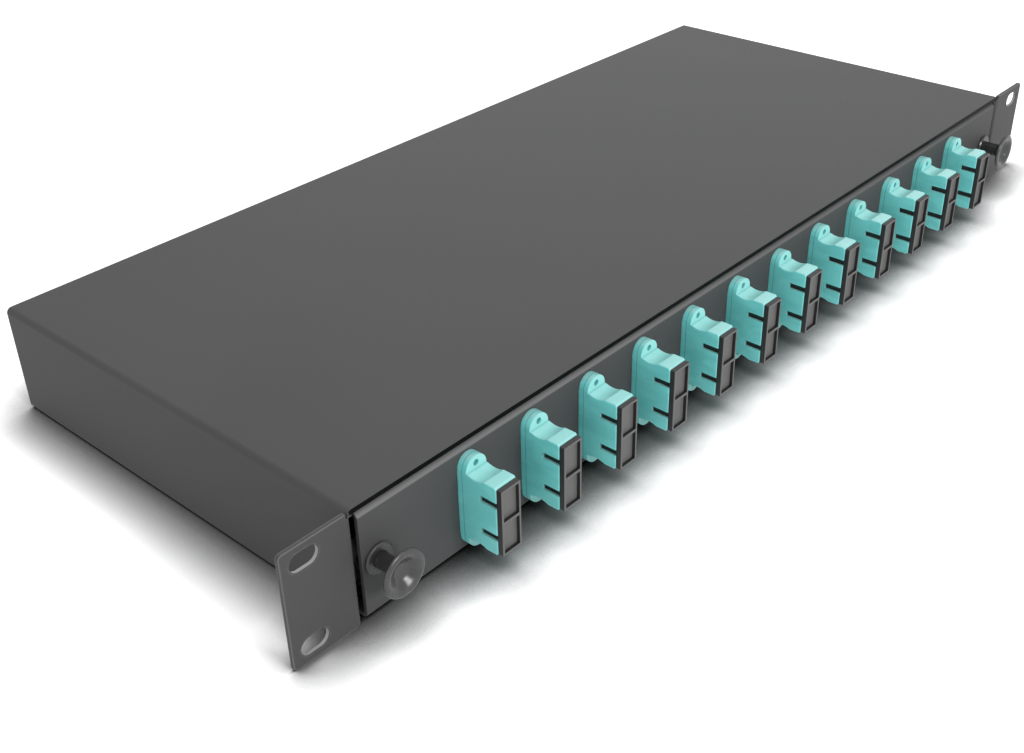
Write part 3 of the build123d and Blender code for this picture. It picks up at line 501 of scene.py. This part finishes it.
plunger = {
    "bead": 1.5 * mm,        # width of the rounded rim
    "rim": 1.5 * mm,         # thickness of the head at its rim
    "dish": 2.6 * mm,        # depth of the hollow in its face
    "floor": 2.0 * mm,       # radius of the flat bottom of the hollow
    "flareWidth": 2.3 * mm,  # the back of the head narrows to the stem in a hollow curve
    "flareLength": 3.1 * mm,
    "stem": 2.9 * mm,
    "tip": 0.8 * mm,
    "pit": 0.08,             # share of the hollow's radius at which its outline starts
    "beadShape": 0.8,        # below 1 the bead's circle is flattened
    "sides": 96,
    "bowlPoints": 16,
    "beadPoints": 15,
    "hollowPoints": 10,
}


def plungerOutline(v, radius, front, back):
    # radius and Y from the middle of the face to the tip: a flat floor whose wall rises in half a cosine
    # wave, a bead that is half a flattened circle, a quarter ellipse down to the stem, and a chamfered tip
    inner = radius - v["bead"]
    bowl = np.linspace(v["pit"], 1, v["bowlPoints"]) * inner
    rise = np.clip((bowl - v["floor"]) / (inner - v["floor"]), 0, 1)
    turn = np.radians(np.linspace(-90, 90, v["beadPoints"])[1:])
    hollow = np.radians(np.linspace(0, 90, v["hollowPoints"]))
    r = np.concatenate([
        bowl,
        inner + v["bead"] * np.cos(turn) ** v["beadShape"],
        v["stem"] + v["flareWidth"] * (1 - np.sin(hollow)),
        [v["stem"], v["stem"], v["stem"] - v["tip"] / 2],
    ])
    y = np.concatenate([
        front + v["dish"] * (1 + np.cos(np.pi * rise)) / 2,
        front + v["rim"] * (1 + np.sin(turn)) / 2,
        front + v["rim"] + v["flareLength"] * (1 - np.cos(hollow)),
        [back - 2 * v["tip"], back - v["tip"], back],
    ])
    return r, y


def spin(r, y, centre, sides, ripple=1.0):
    # an outline turned about an axis along Y: x and z are the radius times the sine and cosine of the turn
    turn = np.linspace(0, 2 * np.pi, sides, endpoint=False)
    radius = r[:, None] * ripple
    x, z = centre.x + radius * np.sin(turn), centre.z + radius * np.cos(turn)
    return np.stack([x, np.broadcast_to(y[:, None], x.shape), z], -1)


for hand in ("left", "right"):
    node = "plunger_" + hand
    low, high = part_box(node)
    centre = (low + high) / 2
    r, y = plungerOutline(plunger, (high.x - low.x) / 2, low.y, high.y)
    grid = spin(r, y, centre, plunger["sides"])
    ends = [(centre.x, low.y + plunger["dish"], centre.z), (centre.x, high.y, centre.z)]
    knob = surface("pushPlunger_" + hand, grid, "plunger_plastic", node, poles=ends)
    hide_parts(node)
print("plungers turned")


def slotRim(number, sideX, sideZ, v):
    # a thin round bead of paint carried along the slot's edge on the ear's front face: the path is a
    # circle whose halves are drawn apart by the straight stretch, and the bead's circle stands across it
    turn = np.radians((np.arange(v["steps"]) + 0.5) * 360 / v["steps"])[:, None]
    bead = np.radians(np.arange(v["beadSteps"]) * 360 / v["beadSteps"])[None, :]
    reach = v["radius"] + v["rim"] * (v["rimOut"] + np.cos(bead))
    x = sideX * v["x"] + np.sign(np.cos(turn)) * v["straight"] + reach * np.cos(turn)
    z = sideZ * v["z"] + reach * np.sin(turn)
    y = v["rim"] * (v["rimOut"] + np.sin(bead)) - housing["sheet"] + 0 * turn
    return surface(f"slotRim_{number}", np.stack([x, y, z], -1), "powder_coat", "housing", loop=True)


for number, (sideX, sideZ) in enumerate([(-1, -1), (-1, 1), (1, -1), (1, 1)], start=1):
    slotRim(number, sideX, sideZ, rackSlot)
print("slot rims laid")


crown = {
    "wide": 11.25 * mm,   # radius where the dome leaves the hexagon
    "narrow": 7.8 * mm,   # radius at its mouth
    "length": 6.0 * mm,
    "sag": 0.75 * mm,     # how far the dome bulges past a straight cone
    "rib": 0.5 * mm,      # height of a rib
    "ribs": 24,
    "fadeShape": 0.6,     # below 1 the ribs rise fast at their ends
    "thick": 1.0 * mm,
    "rows": 14,
    "stepsPerRib": 8,
}


def gripCrown(hand, v):
    # a dome whose radius falls in a bulging line from the hexagon to the mouth, raised into ribs by a
    # squared cosine of the turn that fades out at both ends; the inner skin lies one thickness below
    low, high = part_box("gland_cap_" + hand)
    t = np.linspace(0, 1, v["rows"])
    outer = v["wide"] + (v["narrow"] - v["wide"]) * t + 4 * v["sag"] * t * (1 - t)
    y = high.y - v["length"] * (1 - t)
    r = np.concatenate([outer, outer[::-1] - v["thick"]])
    y = np.concatenate([y, y[::-1]])
    turn = np.linspace(0, 2 * np.pi, v["stepsPerRib"] * v["ribs"], endpoint=False)
    fade = np.concatenate([np.sin(np.pi * t) ** v["fadeShape"], 0 * t])
    height = v["rib"] * fade[:, None] * (0.5 + 0.5 * np.cos(v["ribs"] * turn)) ** 2
    grid = spin(r, y, (low + high) / 2, len(turn), 1 + height / r[:, None])
    return surface("gripCrown_" + hand, grid, "black_nylon", "housing", loop=True)


for hand in ("left", "right"):
    gripCrown(hand, crown)
print("gland crowns ribbed")


studio = {
    "sky": 0.75,        # light from all round
    "backdrop": 1.0,    # what the camera and reflections see of it
    "floorColour": (0.80, 0.80, 0.80),  # as it lights the panel
    "floorMirrored": (1.0, 1.0, 1.0),   # as gloss and glass show it
    "floorSeen": (1.35, 1.35, 1.35),    # as the camera sees it, white also where only the sky lights it
    "floorSize": 12.0,
    "contact": 24 * mm,                 # painted contact shadow: occlusion darkens the floor's colour this close to the panel
    "contactDepth": 3.2,
    "target": (0, 0.08, 0),
    "lamps": {          # place, width and height, watts
        "topSoftbox": ((0.0, 0.5, 1.9), (1.5, 1.1), 7),
        "backSoftbox": ((1.9, 1.5, 1.1), (2.4, 0.8), 8),
        "frontSoftbox": ((-0.1, -1.4, 0.6), (0.6, 0.4), 14),
        "leftSoftbox": ((-1.7, -0.5, 0.4), (0.8, 0.6), 3),
    },
}


def rays(sheet):
    # 1 on a ray of that kind: from the camera, off gloss and through glass
    return [sheet.node("LightPath", out=f"Is {kind} Ray") for kind in ("Camera", "Glossy", "Transmission")]


def makeStudio(v):
    world = bpy.data.worlds.new("studio")
    scene.world = world
    sky = Finish("studio", world)
    seen, glossy, through = rays(sky)
    shown = sky.maths("MINIMUM", seen + glossy + through, 1.0)
    strength = v["sky"] + shown * (v["backdrop"] - v["sky"])
    light = sky.node("Background", inputs={"Color": (1, 1, 1, 1), "Strength": strength})
    sky.node("OutputWorld", inputs={"Surface": light})

    half, height = v["floorSize"] / 2, cadBox[0].z
    mesh = bpy.data.meshes.new("floor")
    corners = [(-half, -half, height), (half, -half, height), (half, half, height), (-half, half, height)]
    mesh.from_pydata(corners, [], [(0, 1, 2, 3)])
    paper = Finish("paper")
    seen, glossy, through = rays(paper)
    reflected = paper.maths("MINIMUM", glossy + through, 1.0)
    unseen = paper.colours(reflected, v["floorColour"], v["floorMirrored"])
    # painted contact shadow, from occlusion fed into the floor's colour
    clear = paper.node("AmbientOcclusion", {"samples": 8}, {"Distance": v["contact"]}, out="AO")
    lit = paper.colours(clear ** v["contactDepth"], (0, 0, 0), v["floorSeen"])
    paper.set(Base_Color=paper.colours(seen, unseen, lit), Roughness=1.0, Specular_IOR_Level=0.0)
    mesh.materials.append(paper.block)
    floor = bpy.data.objects.new("floor", mesh)
    scene.collection.objects.link(floor)

    for name, (place, size, watts) in v["lamps"].items():
        lamp = bpy.data.lights.new(name, "AREA")
        lamp.shape = "RECTANGLE"
        lamp.size, lamp.size_y = size
        lamp.energy = watts
        stand = bpy.data.objects.new(name, lamp)
        aim = (Vector(v["target"]) - Vector(place)).to_track_quat("-Z", "Y")
        stand.matrix_world = Matrix.Translation(place) @ aim.to_matrix().to_4x4()
        scene.collection.objects.link(stand)


makeStudio(studio)
print("studio lit")
